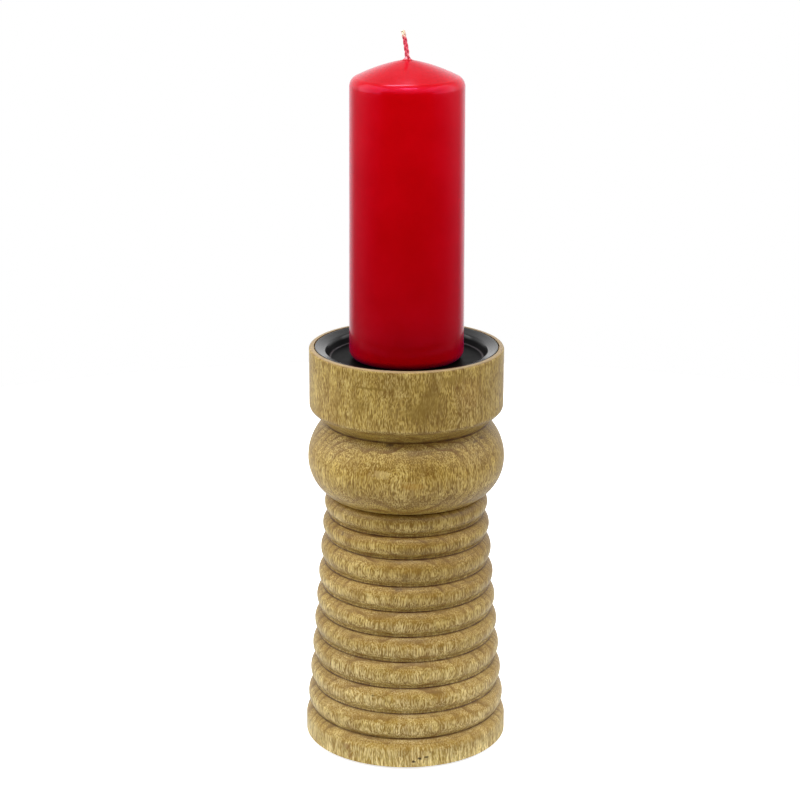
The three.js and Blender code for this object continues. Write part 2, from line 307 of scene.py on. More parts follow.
base_outline = [
    (0, wood_bottom),
    (base_radius - base_edge_break, wood_bottom),
    (base_radius, wood_bottom + base_edge_break),
    *bulged_arc(
        (base_radius, wood_bottom + base_straight_height),
        groove_point(first_groove_z), base_shoulder_bulge, steps=10,
    ),
]

# The tool that cut the beads left a narrow ridge in the bottom of each groove between two of them
bead_outline = []
groove_bottoms = [(neck_radius, neck_z), groove_point(first_groove_z)]
for lower_z, upper_z in zip(groove_heights, groove_heights[1:]):
    starts_at = lower_z + (groove_ridge_half if lower_z > first_groove_z else 0)
    ends_at = upper_z - (groove_ridge_half if upper_z < last_groove_z else 0)
    bead_outline += bulged_arc(groove_point(starts_at), groove_point(ends_at), groove_depth, steps=20)
    groove_bottoms.append(groove_point(ends_at))
    if upper_z < last_groove_z:
        ridge_radius = groove_point(upper_z)[0] + groove_ridge_height
        bead_outline += [
            (ridge_radius, upper_z - groove_ridge_half / 4),
            (ridge_radius, upper_z + groove_ridge_half / 4),
        ]
band_widest = (band_radius, band_widest_z)
band_outline = (
    upright_arc(band_widest, (band_lower_radius, last_groove_z), steps=26)[::-1]
    + upright_arc(band_widest, (neck_radius, neck_z), steps=28)[1:]
)
rebate_radius = dish_rim_radius + seat_clearance
well_radius = dish_lip_radius + dish_sheet + seat_clearance
rebate_z = wood_top - dish_sheet - seat_clearance
rim_slope = dish_lip_drop / (dish_rim_radius - dish_lip_radius)
drum_outline = [
    *rounded_corner(
        (neck_radius, neck_z), (drum_radius, drum_corner_z),
        (drum_radius, wood_top), drum_lower_rounding, steps=10,
    ),
    *rounded_corner(
        (drum_radius, drum_corner_z), (drum_radius, wood_top),
        (rebate_radius, wood_top), drum_rim_rounding, steps=8,
    ),
    (rebate_radius, wood_top),
    (rebate_radius, rebate_z),
    (well_radius, rebate_z - rim_slope * (rebate_radius - well_radius)),
    (well_radius, dish_floor_z - dish_sheet),
]

# The seat's hidden part: the dimple's pocket and the blind hole for the screw
screw_low, screw_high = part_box("dish_screw")
screw_clearance = 0.0003
screw_head_height = 0.0023
screw_shank_radius = 0.0019
screw_hole_radius = screw_shank_radius + screw_clearance
dimple_depth = dish_floor_z - screw_high.z + screw_head_height
dimple_mouth_radius = screw_high.x + screw_clearance + dish_floor_z - screw_high.z
pocket_radius = dimple_mouth_radius + dish_sheet + screw_clearance
pocket_floor_radius = screw_hole_radius + dish_sheet + screw_clearance
seat_floor_z = dish_floor_z - dish_sheet
pocket_floor_z = seat_floor_z - dimple_depth - screw_clearance
hole_end_z = screw_low.z - screw_clearance
hidden_outline = [
    (pocket_radius, seat_floor_z),
    (pocket_floor_radius, pocket_floor_z),
    (screw_hole_radius, pocket_floor_z),
    (screw_hole_radius, hole_end_z),
    (0, hole_end_z),
]
wood_step = 0.0008
hidden_step = 0.006
wood_outline = (
    divided(base_outline[:2], hidden_step)
    + divided(base_outline[2:] + bead_outline[1:] + band_outline[1:] + drum_outline, wood_step)
    + divided(drum_outline[-1:] + hidden_outline, hidden_step)[1:]
)


def geometry_tree(name, sockets):
    """A new Geometry Nodes tree with named inputs: its nodes, and what it is given."""
    tree = bpy.data.node_groups.new(name, "GeometryNodeTree")
    for title, kind in sockets.items():
        tree.interface.new_socket(title, in_out="INPUT", socket_type="NodeSocket" + kind)
    tree.interface.new_socket("Piece", in_out="OUTPUT", socket_type="NodeSocketGeometry")
    nodes = Nodes(tree)
    return nodes, nodes.add("NodeGroupInput").outputs


def shaped(nodes, shape, kind, inputs=None, **settings):
    """The shape after one more node has worked on it."""
    return nodes.add(kind, {"Geometry": shape, **(inputs or {})}, **settings).outputs[0]


def end_tree(nodes, shape, material):
    """The end of every tree: smooth faces, no instances, and a material."""
    shape = shaped(nodes, shape, "GeometryNodeSetShadeSmooth")
    shape = shaped(nodes, shape, "GeometryNodeRealizeInstances")
    shape = shaped(nodes, shape, "GeometryNodeSetMaterial", {"Material": material})
    nodes.add("NodeGroupOutput", {0: shape})
    return nodes.tree


def turning_tree():
    """Spins an outline in the XZ plane about Z, as a lathe does, and gives it a finish."""
    nodes, given = geometry_tree("turning", {
        "Outline": "Geometry", "Facets": "Int", "Sharp angle": "Float", "Unevenness": "Float",
        "Unevenness scale": "Float", "Seed": "Float", "Finish": "Material",
    })

    # A grid with a column for each facet and a row for each point of the outline
    counted = nodes.add("GeometryNodeAttributeDomainSize", {0: given["Outline"]})
    row_count = counted.outputs["Point Count"]
    shape = nodes.add("GeometryNodeMeshGrid", {
        "Vertices X": nodes.plus(given["Facets"], 1.0), "Vertices Y": row_count,
    }).outputs["Mesh"]
    index = nodes.add("GeometryNodeInputIndex").outputs[0]
    column, row = (
        nodes.add("FunctionNodeIntegerMath", {0: index, 1: row_count}, operation=operation).outputs[0]
        for operation in ("DIVIDE_FLOOR", "MODULO"))

    # Values that the outline's points carry go to the rows
    for title in ("groove", "facing_up"):
        carried = nodes.add("GeometryNodeInputNamedAttribute", {"Name": title})
        sampled = nodes.add("GeometryNodeSampleIndex", {
            "Geometry": given["Outline"], "Value": carried.outputs["Attribute"], "Index": row})
        shape = shaped(nodes, shape, "GeometryNodeStoreNamedAttribute", {
            "Name": title, "Value": sampled.outputs[0]})

    # Each column is the outline turned by its angle. The seam and the poles are closed.
    point = nodes.add("GeometryNodeSampleIndex", {
        "Geometry": given["Outline"], "Index": row,
        "Value": nodes.add("GeometryNodeInputPosition").outputs[0],
    }, data_type="FLOAT_VECTOR")
    angle = nodes.times(nodes.maths("DIVIDE", column, given["Facets"]), 2 * math.pi)
    spun = nodes.add("ShaderNodeVectorRotate", {
        "Vector": point.outputs[0], "Angle": angle}, rotation_type="Z_AXIS")
    shape = shaped(nodes, shape, "GeometryNodeSetPosition", {"Position": spun.outputs[0]})
    shape = shaped(nodes, shape, "GeometryNodeMergeByDistance", {"Distance": 1e-6})

    # The hand's unevenness only ever takes material away
    waves = nodes.add("ShaderNodeTexNoise", {
        "Scale": given["Unevenness scale"], "W": given["Seed"], "Detail": 2.0,
    }, noise_dimensions="4D")
    step_in = nodes.add("ShaderNodeVectorMath", {
        0: nodes.add("GeometryNodeInputNormal").outputs[0],
        "Scale": nodes.times(waves.outputs[0], given["Unevenness"], -1.0),
    }, operation="SCALE")
    shape = shaped(nodes, shape, "GeometryNodeSetPosition", {"Offset": step_in.outputs[0]})

    # Edges past the sharp angle stay crisp, and the rest is smooth
    bend = nodes.add("GeometryNodeInputMeshEdgeAngle")
    sharp = nodes.add("FunctionNodeCompare", {
        0: bend.outputs["Unsigned Angle"], 1: given["Sharp angle"],
    }, data_type="FLOAT", operation="GREATER_THAN")
    shape = shaped(nodes, shape, "GeometryNodeStoreNamedAttribute", {
        "Name": "sharp_edge", "Value": sharp.outputs[0]}, data_type="BOOLEAN", domain="EDGE")
    return end_tree(nodes, shape, given["Finish"])


turning = turning_tree()
sharp_angle = math.radians(28)


def grown_piece(name, start, tree, inputs):
    """Runs a Geometry Nodes tree on a starting mesh and keeps the result as a plain piece."""
    piece = placed(name, start)
    grower = piece.modifiers.new(name, "NODES")
    grower.node_group = tree
    for socket in tree.interface.items_tree:
        if socket.in_out == "INPUT" and socket.name in inputs:
            grower[socket.identifier] = inputs[socket.name]
    depsgraph = bpy.context.evaluated_depsgraph_get()
    grown = piece.evaluated_get(depsgraph)
    plain = bpy.data.meshes.new_from_object(
        grown, preserve_all_data_layers=True, depsgraph=depsgraph)
    piece.modifiers.remove(grower)
    piece.data = plain
    plain.name = name
    return piece


def turned_piece(name, outline, material, facets, uneven=0.0, uneven_scale=20.0, carried=None):
    """Turns an outline of (radius, height) points. `carried` holds values for its points."""
    start = bpy.data.meshes.new(name + "_outline")
    edges = [(here, here + 1) for here in range(len(outline) - 1)]
    start.from_pydata([(radius, 0, height) for radius, height in outline], edges, [])
    for title, values in (carried or {}).items():
        start.attributes.new(title, "FLOAT", "POINT").data.foreach_set("value", values)
    return grown_piece(name, start, turning, {
        "Facets": facets, "Sharp angle": sharp_angle, "Unevenness": uneven,
        "Unevenness scale": uneven_scale, "Seed": float(len(outline)), "Finish": material,
    })


def paint(red, green, blue):
    """A colour as a screen shows it, 0 to 255, in the linear values that shaders take."""
    parts = [value / 255 for value in (red, green, blue)]
    return tuple(
        part / 12.92 if part <= 0.04045 else ((part + 0.055) / 1.055) ** 2.4 for part in parts
    ) + (1.0,)


class Finish(Nodes):
    """A material: its Principled shader, set to constants, and a colour laid on in coats."""

    def __init__(self, name, **constants):
        self.material = bpy.data.materials.new(name)
        self.material.use_nodes = True
        super().__init__(self.material.node_tree)
        self.shader = self.add("ShaderNodeBsdfPrincipled", {
            title.replace("_", " "): value for title, value in constants.items()})
        self.add("ShaderNodeOutputMaterial", {"Surface": self.shader.outputs[0]})
        self.place = self.add("ShaderNodeTexCoord").outputs["Object"]

    def axis(self, letter):
        return self.add("ShaderNodeSeparateXYZ", {0: self.place}).outputs[letter]

    def vector_maths(self, operation, first, second):
        return self.add(
            "ShaderNodeVectorMath", {0: first, 1: second}, operation=operation).outputs[0]

    def length(self, vector):
        return self.add("ShaderNodeVectorMath", {0: vector}, operation="LENGTH").outputs["Value"]

    def noise(self, place, scale, detail=2.0, roughness=0.5, stretch=(1, 1, 1), colour=False):
        """Noise over a place, drawn out along an axis where that axis's stretch is under 1."""
        spread = self.add("ShaderNodeMapping", {"Vector": place, "Scale": stretch})
        made = self.add("ShaderNodeTexNoise", {
            "Vector": spread.outputs[0], "Scale": scale, "Detail": detail, "Roughness": roughness})
        return made.outputs[1 if colour else 0]

    def moved(self, place, field, reach):
        """A place shifted to and fro by a colour of noise, by up to half of `reach` each way."""
        centred = self.vector_maths("SUBTRACT", field, (0.5, 0.5, 0.5))
        return self.vector_maths("ADD", place, self.vector_maths("MULTIPLY", centred, reach))

    def mixed(self, share, first, second, blend="MIX"):
        return self.add("ShaderNodeMix", {
            0: share, 6: first, 7: second}, data_type="RGBA", blend_type=blend).outputs[2]

    def ground(self, field, over, low, high):
        """The first coat: one colour where a field is low, running into another where it is high."""
        self.colour = self.mixed(self.ranged(field, over), low, high)

    def coat(self, share, colour):
        self.colour = self.mixed(share, self.colour, colour)

    def shade(self, share, red, green, blue):
        """Darkens the colour, or brightens it by factors over 1."""
        self.colour = self.mixed(share, self.colour, (red, green, blue, 1), "MULTIPLY")

    def finished(self, relief, relief_height, **varying):
        """The material, with its colour, its relief and any varying sockets joined up."""
        bump = self.add("ShaderNodeBump", {"Height": relief, "Distance": relief_height})
        varying.update(Base_Color=self.colour, Normal=bump.outputs[0])
        for title, value in varying.items():
            self.tree.links.new(value, self.shader.inputs[title.replace("_", " ")])
        return self.material


# Marks that the tree left in the wood: degrees round the body from the front, height,
# half width, half height, colour and strength
pit = paint(60, 38, 14)
knot = paint(120, 74, 36)
smudge = paint(92, 66, 30)
olive = paint(118, 92, 30)
amber = paint(150, 110, 36)
pale = paint(206, 184, 126)
wood_marks = (
    (4.5, 0.0048, 0.0012, 0.0008, pit, 1.0),
    (8.0, 0.0066, 0.0013, 0.0010, pit, 1.0),
    (12.0, 0.0072, 0.0015, 0.0007, pit, 0.95),
    (-35.0, 0.0092, 0.0024, 0.0022, knot, 0.5),
    (-33.0, 0.0046, 0.0016, 0.0026, knot, 0.45),
    (-51.5, 0.0227, 0.0006, 0.0006, pit, 0.8),
    (-20.0, 0.0397, 0.0008, 0.0006, pit, 0.7),
    (-22.0, 0.1243, 0.0042, 0.0010, pit, 0.5),
    (-6.5, 0.0973, 0.0034, 0.0007, pit, 0.6),
    (17.5, 0.1027, 0.0018, 0.0011, olive, 0.6),
    (-4.0, 0.1195, 0.0040, 0.0030, olive, 0.35),
    (-13.5, 0.0737, 0.0050, 0.0026, olive, 0.3),
    (-49.5, 0.1218, 0.0010, 0.0014, smudge, 0.75),
    (-11.0, 0.1746, 0.0030, 0.0009, pit, 0.85),
    (-8.0, 0.1733, 0.0036, 0.0012, smudge, 0.55),
    (58.0, 0.1727, 0.0018, 0.0010, smudge, 1.0),
    (50.0, 0.1722, 0.0024, 0.0009, smudge, 0.8),
    (-61.5, 0.1703, 0.0014, 0.0005, smudge, 0.6),
    (-53.5, 0.1297, 0.0046, 0.0030, pale, 0.4),
    (-21.0, 0.2054, 0.0120, 0.0007, olive, 0.65),
    (13.0, 0.1985, 0.0070, 0.0080, olive, 0.55),
    (6.0, 0.1935, 0.0080, 0.0060, olive, 0.60),
    (1.0, 0.2075, 0.0100, 0.0035, olive, 0.38),
    (-27.5, 0.1955, 0.0055, 0.0050, olive, 0.50),
    (30.0, 0.2095, 0.0090, 0.0030, olive, 0.50),
    (38.0, 0.2010, 0.0110, 0.0110, knot, 0.20),
    (3.0, 0.1553, 0.0080, 0.0022, amber, 0.5),
    (-33.5, 0.1500, 0.0070, 0.0045, olive, 0.35),
    (-15.0, 0.1610, 0.0060, 0.0025, pale, 0.30),
    (-50.5, 0.0150, 0.0035, 0.0016, olive, 0.45),
)
mark_wobble = 1.6
mark_core = 0.45
mark_edge = 1.15

pith_place = (0.016, 0.120)
pith_lean = 0.04
ring_width = 0.0044
ring_waver = 5.0
torn_middle = 0.27


def wood_radius_at(height):
    """The radius of the turned body's outside at a height."""
    for low, high in zip(wood_outline, wood_outline[1:]):
        if low[1] <= height < high[1]:
            return low[0] + (high[0] - low[0]) * (height - low[1]) / (high[1] - low[1])
    return drum_radius


class Wood(Finish):
    """Oiled hardwood. Its fibres stand upright and drift, and curl a little as they go."""

    def __init__(self):
        super().__init__("oiled_wood", Specular_IOR_Level=0.38, Specular_Tint=(1.0, 0.93, 0.80, 1))
        self.across, self.height = self.axis("X"), self.axis("Z")
        slow = self.noise(self.place, scale=42.0, detail=3.0, stretch=(1, 1, 0.55), colour=True)
        curly = self.noise(self.place, scale=190.0, detail=1.0, stretch=(1, 1, 0.6), colour=True)
        self.drifted = self.moved(self.place, slow, reach=(0.010, 0.010, 0.004))
        self.fibre = self.moved(self.drifted, curly, reach=(0.0009, 0.0009, 0.0))
        self.facing_up = self.add("ShaderNodeAttribute", attribute_name="facing_up").outputs["Fac"]
        self.slope = self.maths("ABSOLUTE", self.facing_up)
        self.above_beads = self.ranged(self.height, over=(last_groove_z, last_groove_z + 0.004))
        from_band = self.maths("ABSOLUTE", self.minus(self.height, band_widest_z - 0.004))
        self.on_band = self.ranged(from_band, over=(0.018, 0.008))

    def rings(self):
        """Rings a few millimetres apart about a pith behind the body, each with a thin dark end."""
        from_pith = self.add("ShaderNodeMapping", {
            "Vector": self.drifted, "Location": (-pith_place[0], -pith_place[1], 0),
            "Scale": (1, 1, pith_lean)}).outputs[0]
        growth = self.noise(self.drifted, scale=26.0, detail=1.0, stretch=(1, 1, 0.2))
        ring = self.maths("FRACT", self.plus(
            self.times(growth, ring_waver), self.times(self.length(from_pith), 1 / ring_width)))
        ring_end = self.ranged(ring, over=(1.0, 0.94))
        self.late_wood = self.times(self.ranged(ring, over=(0.30, 0.92), smooth=True), ring_end)
        self.ring_line = self.times(self.ranged(ring, over=(0.50, 0.92), smooth=True), ring_end)

    def tones(self):
        """The ground colour, in soft patches and broad upright bands."""
        self.broad = self.noise(
            self.fibre, scale=620.0, roughness=0.55, stretch=(1, 1, 0.26))
        self.patch = self.noise(
            self.drifted, scale=95.0, detail=3.0, roughness=0.6, stretch=(1, 1, 0.75))
        curls = self.noise(self.fibre, scale=270.0, roughness=0.55, stretch=(1, 1, 0.5))
        figure = self.times(self.above_beads, self.ranged(curls, over=(0.36, 0.64), to=(-1.0, 1.0)))
        tone = 0.19
        for layer, weight in (
            (figure, 0.16),
            (self.ranged(self.broad, over=(0.34, 0.66)), 0.20),
            (self.ranged(self.patch, over=(0.38, 0.62)), 0.50),
            (self.late_wood, -0.24),
        ):
            tone = self.plus(self.times(layer, weight), tone)
        self.ground(tone, over=(0.0, 0.9), low=paint(132, 102, 30), high=paint(208, 183, 106))
        hue = self.noise(self.drifted, scale=34.0, stretch=(1, 1, 0.6))
        self.coat(self.ranged(hue, over=(0.52, 0.66), to=(0.0, 0.30)), paint(190, 158, 92))
        self.coat(self.ranged(hue, over=(0.50, 0.36), to=(0.0, 0.45)), paint(172, 146, 62))

    def fibres(self):
        """Upright hairlines where the cut runs along the fibres, dots where it crosses them."""
        streak = self.noise(
            self.fibre, scale=1900.0, detail=1.0, roughness=0.6, stretch=(1, 1, 0.09))
        hair = self.noise(self.fibre, scale=2700.0, detail=0.0, stretch=(1, 1, 0.18))
        self.grain = self.plus(self.times(streak, 0.5), self.times(hair, 0.5))
        vivid = self.times(
            self.ranged(self.height, over=(0.012, 0.018), to=(0.96, 1.22)),
            self.ranged(self.height, over=(neck_z, drum_corner_z), to=(1.10, 1.02)))
        dark = self.ranged(self.grain, over=(0.54, 0.40), to=(0.0, 0.66))
        self.coat(self.times(dark, vivid), paint(114, 84, 28))
        clusters = self.noise(self.drifted, scale=130.0, stretch=(1, 1, 0.4))
        self.cluster = self.ranged(clusters, over=(0.44, 0.58), to=(0.5, 1.0))
        light = self.ranged(self.grain, over=(0.50, 0.62), to=(0.0, 0.56))
        self.coat(self.times(light, self.cluster, vivid), paint(230, 214, 156))
        holes = self.noise(self.fibre, scale=1500.0, detail=1.0, stretch=(1, 1, 0.09))
        self.pores = self.ranged(holes, over=(0.62, 0.72))
        self.coat(self.times(self.pores, 0.40), paint(100, 66, 24))

    def combs(self):
        """Short pale and olive strokes where a crest cuts the fibres lengthwise, and flecks."""
        crest = self.ranged(self.slope, over=(0.60, 0.25))
        shown = self.larger(
            self.ranged(self.above_beads, over=(0.0, 1.0), to=(1.0, 0.42)),
            self.times(self.on_band, 0.65))
        combed = self.times(crest, shown, self.cluster)
        comb = self.noise(self.drifted, scale=1300.0, detail=0.0, stretch=(1, 1, 0.07))
        stroke = self.ranged(comb, over=(0.50, 0.64), to=(0.0, 0.55))
        self.coat(self.times(stroke, combed), paint(230, 210, 150))
        gap = self.ranged(comb, over=(0.50, 0.38), to=(0.0, 0.40))
        self.coat(self.times(gap, combed), paint(138, 108, 50))
        specks = self.noise(self.fibre, scale=300.0, roughness=0.6, stretch=(1, 1, 0.7))
        fleck = self.ranged(specks, over=(0.56, 0.68), to=(0.0, 0.42))
        below = self.ranged(self.above_beads, over=(0.0, 1.0), to=(1.0, 0.4))
        self.coat(self.times(fleck, below), paint(116, 92, 36))

    def end_grain(self):
        """The oil sinks into end grain, so slopes that face up are browner, and slopes that face down
        get painted shade. The rings and the lathe's fine lines show there too."""
        on_beads = self.ranged(
            self.height, over=(last_groove_z + 0.004, last_groove_z), to=(0.30, 1.0))
        torn = self.plus(
            self.times(self.ranged(self.grain, over=(0.36, 0.64)), 0.20),
            self.times(self.ranged(self.patch, over=(0.34, 0.66)), 0.34))
        torn = self.minus(torn, torn_middle)
        brown = self.ranged(
            self.minus(self.facing_up, torn), over=(0.05, 0.50), to=(0.0, 0.44), smooth=True)
        self.coat(self.times(brown, on_beads), paint(158, 122, 44))
        # Painted shade: slopes that face down are darkened
        under = self.ranged(
            self.plus(self.facing_up, torn), over=(-0.15, -0.55), to=(0.0, 0.12), smooth=True)
        self.coat(under, paint(118, 90, 38))
        on_slope = self.ranged(self.slope, over=(0.1, 0.6), to=(0.15, 1.0))
        fading = self.noise(self.place, scale=95.0, roughness=0.6)
        faded = self.ranged(fading, over=(0.38, 0.58), to=(0.14, 0.92))
        self.coat(self.times(self.ring_line, on_slope, faded), paint(122, 88, 28))
        lathe = self.noise(self.place, scale=1700.0, roughness=0.6, stretch=(0.03, 0.03, 1))
        turned_line = self.times(self.ranged(lathe, over=(0.48, 0.36)), on_slope)
        self.coat(self.times(turned_line, 0.4), paint(104, 76, 36))

    def shades(self):
        """Painted shade from the beads up, and painted light on the band, at the foot and on the left
        side over the lowest beads.
        """
        # Painted shade: the wood is darkened from the beads up
        upper = self.ranged(self.height, over=(0.02, 0.13), smooth=True)
        self.shade(upper, 0.68, 0.62, 0.44)
        # Painted light: the band is brightened
        self.shade(self.on_band, 1.10, 1.10, 1.10)
        # Painted light: the foot is brightened, standing in for light bounced up from the table
        self.shade(self.ranged(self.height, over=(0.009, 0.002)), 1.26, 1.32, 1.42)
        # Painted light: the left side over the lowest beads is brightened
        painted_light_left = self.times(
            self.ranged(self.across, over=(0.010, -0.050)),
            self.ranged(self.height, over=(0.055, 0.10), smooth=True))
        self.shade(painted_light_left, 1.34, 1.38, 1.50)

    def marks(self):
        """The tree's marks: soft-edged spots, each at its place on the turned surface."""
        wobble = self.noise(self.place, scale=620.0, colour=True)
        for angle, height, half_width, half_height, tint, strength in wood_marks:
            turn, radius = math.radians(angle), wood_radius_at(height)
            size = (half_width, half_width, half_height)
            ragged = self.moved(self.place, wobble, reach=[mark_wobble * side for side in size])
            centre = (radius * math.sin(turn), -radius * math.cos(turn), height)
            away = self.vector_maths("SUBTRACT", ragged, centre)
            far = self.length(self.vector_maths("MULTIPLY", away, [1 / side for side in size]))
            inside = self.ranged(far, over=(mark_edge, mark_core), to=(0.0, strength), smooth=True)
            self.coat(inside, tint)

    def rim_light_and_groove_shade(self):
        """Painted light on the top of the rim round the dish, and painted shade in the grooves."""
        # Painted light: the top of the rim is made paler
        rim = self.ranged(self.height, over=(wood_top - 0.0006, wood_top - 0.0001), to=(0.0, 0.7))
        self.coat(rim, paint(164, 146, 114))
        # Painted shade: a soft darkening round each groove bottom, and a darker line in it whose
        # strength noise varies
        groove = self.add("ShaderNodeAttribute", attribute_name="groove").outputs["Fac"]
        self.coat(self.times(groove, 0.18), paint(110, 80, 34))
        groove_shade_noise = self.noise(self.place, scale=150.0)
        groove_shade_strength = self.ranged(groove_shade_noise, over=(0.35, 0.60), to=(0.60, 1.0))
        self.coat(self.times(self.ranged(groove, over=(0.86, 0.97)), groove_shade_strength), paint(74, 41, 4))


def wood_finish():
    wood = Wood()
    wood.rings()
    wood.tones()
    wood.fibres()
    wood.combs()
    wood.end_grain()
    wood.shades()
    wood.marks()
    wood.rim_light_and_groove_shade()
    relief = wood.minus(wood.plus(wood.grain, wood.broad), wood.pores)
    return wood.finished(
        relief, relief_height=0.00005,
        Roughness=wood.ranged(wood.broad, over=(0.3, 0.7), to=(0.44, 0.34)))


groove_reach = 0.0020
wood_groove = [
    max(math.exp(-((math.dist(point, bottom) / groove_reach) ** 2)) for bottom in groove_bottoms)
    for point in wood_outline
]
wood_facing_up = []
for before, after in zip(wood_outline[:1] + wood_outline, wood_outline[1:] + wood_outline[-1:]):
    run = math.dist(before, after) or 1.0
    wood_facing_up.append((before[0] - after[0]) / run)

turned_wood = turned_piece(
    "turned_wood", wood_outline, wood_finish(), facets=200, uneven=0.00016, uneven_scale=45.0,
    carried={"groove": wood_groove, "facing_up": wood_facing_up},
)
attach(turned_wood, "holder")
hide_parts("turned_body")


# The felt pads
# Four round discs punched from brown wool felt with a gummed back, pressed on under the base so that
# the wood doesn't scratch the table.

felt_rounding = 0.0003


def felt_finish():
    felt = Finish(
        "brown_felt", Roughness=1.0, Specular_IOR_Level=0.1, Sheen_Weight=0.6, Sheen_Roughness=0.5)
    tangle = felt.noise(felt.place, scale=900.0, colour=True)
    tangled = felt.moved(felt.place, tangle, reach=(0.0016, 0.0016, 0.0016))
    hairs = felt.noise(tangled, scale=2600.0, detail=3.0, roughness=0.7, stretch=(1, 1, 0.4))
    felt.ground(hairs, over=(0.3, 0.7), low=paint(58, 44, 32), high=paint(108, 88, 68))
    return felt.finished(hairs, relief_height=0.0003)


felt_material = felt_finish()
for number in (1, 2, 3, 4):
    pad_low, pad_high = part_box(f"felt_pad_{number}")
    pad_radius = (pad_high.x - pad_low.x) / 2
    pad_middle = (pad_low + pad_high) / 2
    pad_bottom, pad_top = (0, pad_low.z), (0, pad_high.z)
    lower_edge, upper_edge = (pad_radius, pad_low.z), (pad_radius, pad_high.z)
    pad_outline = [
        pad_bottom,
        *rounded_corner(pad_bottom, lower_edge, upper_edge, felt_rounding, steps=3),
        *rounded_corner(lower_edge, upper_edge, pad_top, felt_rounding, steps=3),
        pad_top,
    ]
    pad = turned_piece(
        f"felt_disc_{number}", divided(pad_outline, longest=0.0007), felt_material, facets=72,
        uneven=0.00010, uneven_scale=900.0)
    pad.data.transform(Matrix.Translation((pad_middle.x, pad_middle.y, 0)))
    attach(pad, "holder")
    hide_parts(f"felt_pad_{number}")


# The dish
# Pressed from thin sheet steel and powder coated in satin black. Its rim slopes in to a rolled lip,
# and a dimple in its floor takes the head of the screw that holds it down.

lip_rounding = 0.0017
bend_rounding = 0.0009
rim_edge_rounding = 0.00035
lip_under_radius = dish_lip_radius + dish_sheet
lip_under_z = wood_top - dish_sheet - rim_slope * (dish_rim_radius - lip_under_radius)
dish_rim = (dish_rim_radius, wood_top)
dish_rim_under = (dish_rim_radius, wood_top - dish_sheet)
dish_lip = (dish_lip_radius, wood_top - dish_lip_drop)
dish_lip_under = (lip_under_radius, lip_under_z)
dish_bend = (dish_floor_radius, dish_floor_z)
dimple_mouth = (dimple_mouth_radius, dish_floor_z)
dimple_bottom = (screw_hole_radius, dish_floor_z - dimple_depth)
dish_underside = [
    (screw_hole_radius, seat_floor_z - dimple_depth),
    (screw_hole_radius + dish_sheet, seat_floor_z - dimple_depth),
    (dimple_mouth_radius + dish_sheet, seat_floor_z),
    *rounded_corner(
        (dimple_mouth_radius + dish_sheet, seat_floor_z),
        (dish_floor_radius + dish_sheet, seat_floor_z),
        dish_lip_under, bend_rounding + dish_sheet, steps=6),
    dish_lip_under,
]
dish_topside = [
    *rounded_corner(dish_lip_under, dish_rim_under, dish_rim, rim_edge_rounding, steps=3),
    *rounded_corner(dish_rim_under, dish_rim, dish_lip, rim_edge_rounding, steps=5),
    *rounded_corner(dish_rim, dish_lip, dish_bend, lip_rounding, steps=12),
    *rounded_corner(dish_lip, dish_bend, dimple_mouth, bend_rounding, steps=8),
    *rounded_corner(dish_bend, dimple_mouth, dimple_bottom, bend_rounding, steps=6),
    dimple_bottom,
    (screw_hole_radius, seat_floor_z - dimple_depth),
]


def dish_finish():
    """Satin black. The rim is rubbed bright by hands and cloths. The bend round the floor carries a
    painted highlight, a paler grey ring. The well is dull."""
    dish = Finish("black_powder_coat", Specular_IOR_Level=0.04, Coat_Roughness=0.14)
    cloud = dish.noise(dish.place, scale=55.0, detail=3.0, roughness=0.6)
    dish.ground(cloud, over=(0.3, 0.7), low=paint(3, 3, 4), high=paint(8, 8, 8))
    wear = dish.noise(dish.place, scale=240.0, detail=4.0, roughness=0.7)
    dish.coat(dish.ranged(wear, over=(0.62, 0.78), to=(0.0, 0.4)), paint(20, 19, 20))
    flat = dish.add("ShaderNodeMapping", {"Vector": dish.place, "Scale": (1, 1, 0)})
    radius = dish.length(flat.outputs[0])
    # Painted highlight: a paler grey ring at the bend round the floor
    from_bend = dish.maths("ABSOLUTE", dish.minus(radius, dish_floor_radius - bend_rounding / 2))
    dish.coat(dish.ranged(from_bend, over=(0.0007, 0.0002)), paint(72, 70, 72))
    grit = dish.noise(dish.place, scale=1900.0, roughness=0.6)
    return dish.finished(
        grit, relief_height=0.000006,
        Coat_Weight=dish.ranged(radius, over=(dish_lip_radius - 0.0010, dish_lip_radius)),
        Roughness=dish.ranged(cloud, over=(0.3, 0.7), to=(0.36, 0.46)))


pressed_dish = turned_piece(
    "pressed_dish", divided(dish_underside + dish_topside, longest=0.0012), dish_finish(), facets=180)
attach(pressed_dish, "holder")
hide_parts("candle_dish")


# The screw
# A zinc plated wood screw with a countersunk head and a cross recess, driven through the dish into
# the end grain of the body.

thread_pitch = 0.0018
thread_height = 0.00055
thread_length = 0.0130
thread_width_share = 0.42
thread_growth = 1.6
screw_point_length = 0.0040
shank_step = 0.00015
head_edge_drop = 0.00025
head_edge_break = 0.0001
head_flat_inset = 0.00015
head_ring_gap = 0.0001
head_ring_count = 36
recess_half_width = 0.00042
recess_half_length = 0.0021
recess_depth = 0.0013
recess_flare = 0.00022
screw_facets = 48


def screw_ring(radius_of, height_of):
    """One ring of points. Its radius follows from the angle, and its height from the place."""
    ring = []
    for facet in range(screw_facets):
        angle = 2 * math.pi * facet / screw_facets
        x, y = radius_of(angle) * math.cos(angle), radius_of(angle) * math.sin(angle)
        ring.append((x, y, height_of(x, y)))
    return ring


